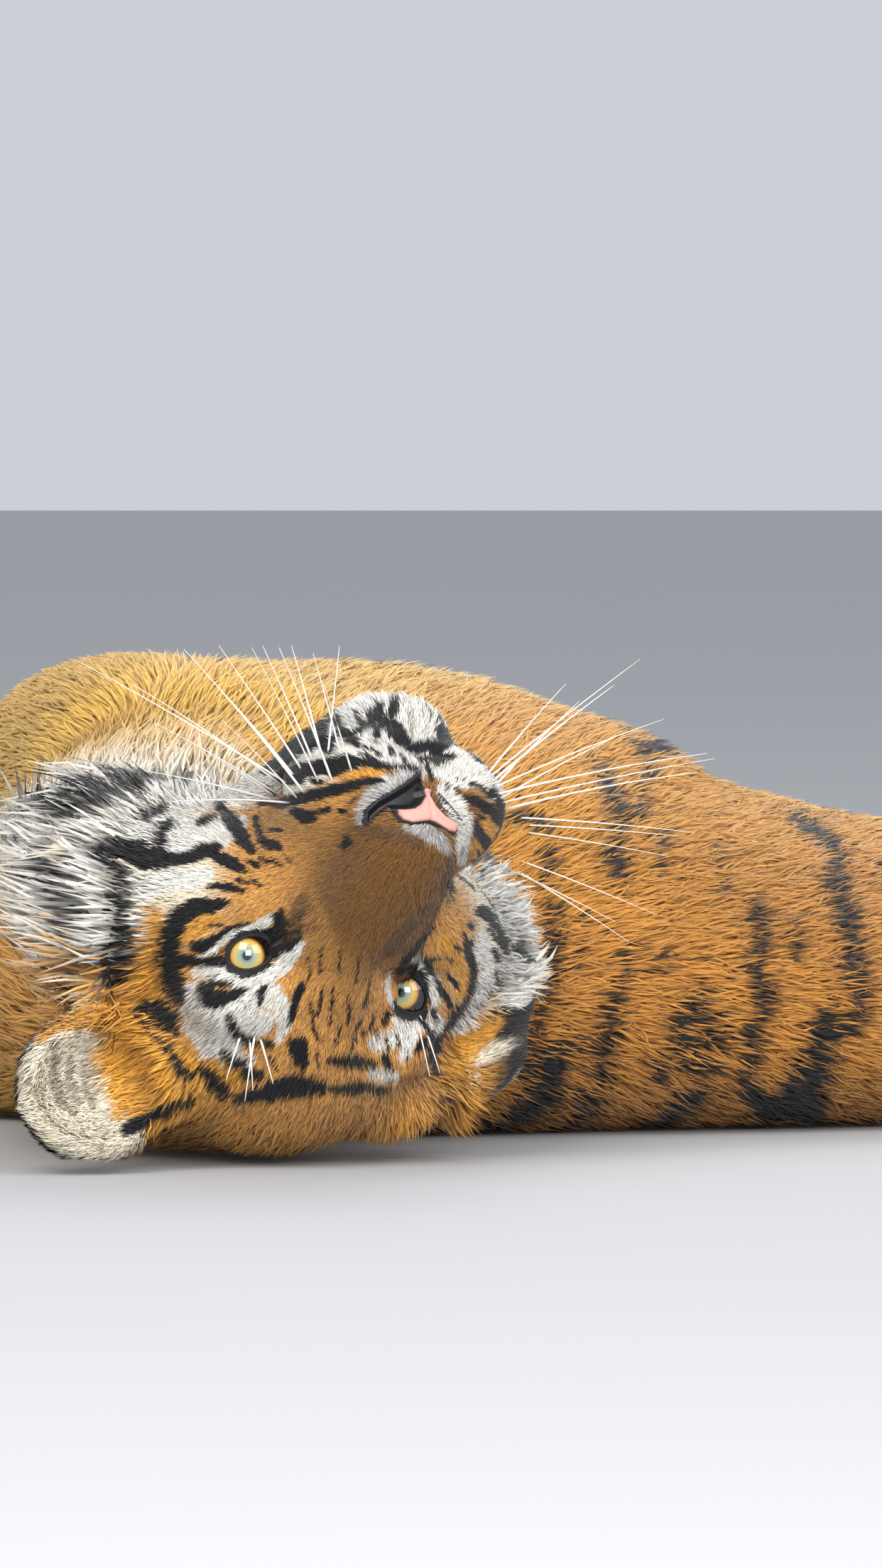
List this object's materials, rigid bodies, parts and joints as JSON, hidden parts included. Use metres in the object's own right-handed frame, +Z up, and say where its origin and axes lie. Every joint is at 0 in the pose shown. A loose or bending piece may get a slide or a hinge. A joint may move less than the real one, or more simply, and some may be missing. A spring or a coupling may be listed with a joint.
{
  "type": "siberian tiger",
  "caption": "Life-size model of an adult tiger lying rolled on its side, back to the front, with its head turned back and resting upside down on the floor.",
  "frame": {"origin": "on the floor under the middle of the chest", "axes": "+Z up from the floor, -Y to the side that the face looks towards, +X from the chest towards the tail"},
  "size_m": [2.1039, 1.5509, 0.2912],
  "materials": {
    "coat_orange": "orange fur with black stripes, matt",
    "coat_cream": "cream-white fur, matt",
    "eye": "wet golden iris under a clear gloss",
    "nose": "bare pink skin, satin"
  },
  "bodies": {
    "root": {"chest": "coat_orange", "ear_left": "coat_orange", "ear_right": "coat_orange", "eye_left": "eye", "eye_right": "eye", "foreleg_left_forearm": "coat_orange", "foreleg_left_paw": "coat_orange", "foreleg_left_upper_arm": "coat_orange", "foreleg_right_forearm": "coat_orange", "foreleg_right_paw": "coat_orange", "foreleg_right_upper_arm": "coat_orange", "head": "coat_orange", "hindleg_left_foot": "coat_orange", "hindleg_left_paw": "coat_orange", "hindleg_left_shank": "coat_orange", "hindleg_left_thigh": "coat_orange", "hindleg_right_foot": "coat_orange", "hindleg_right_paw": "coat_orange", "hindleg_right_shank": "coat_orange", "hindleg_right_thigh": "coat_orange", "loin": "coat_orange", "lower_jaw": "coat_cream", "muzzle": "coat_orange", "neck": "coat_orange", "nose": "nose", "rump": "coat_orange", "tail_base": "coat_orange", "tail_middle": "coat_orange", "tail_tip": "coat_orange"}
  },
  "joints": []
}
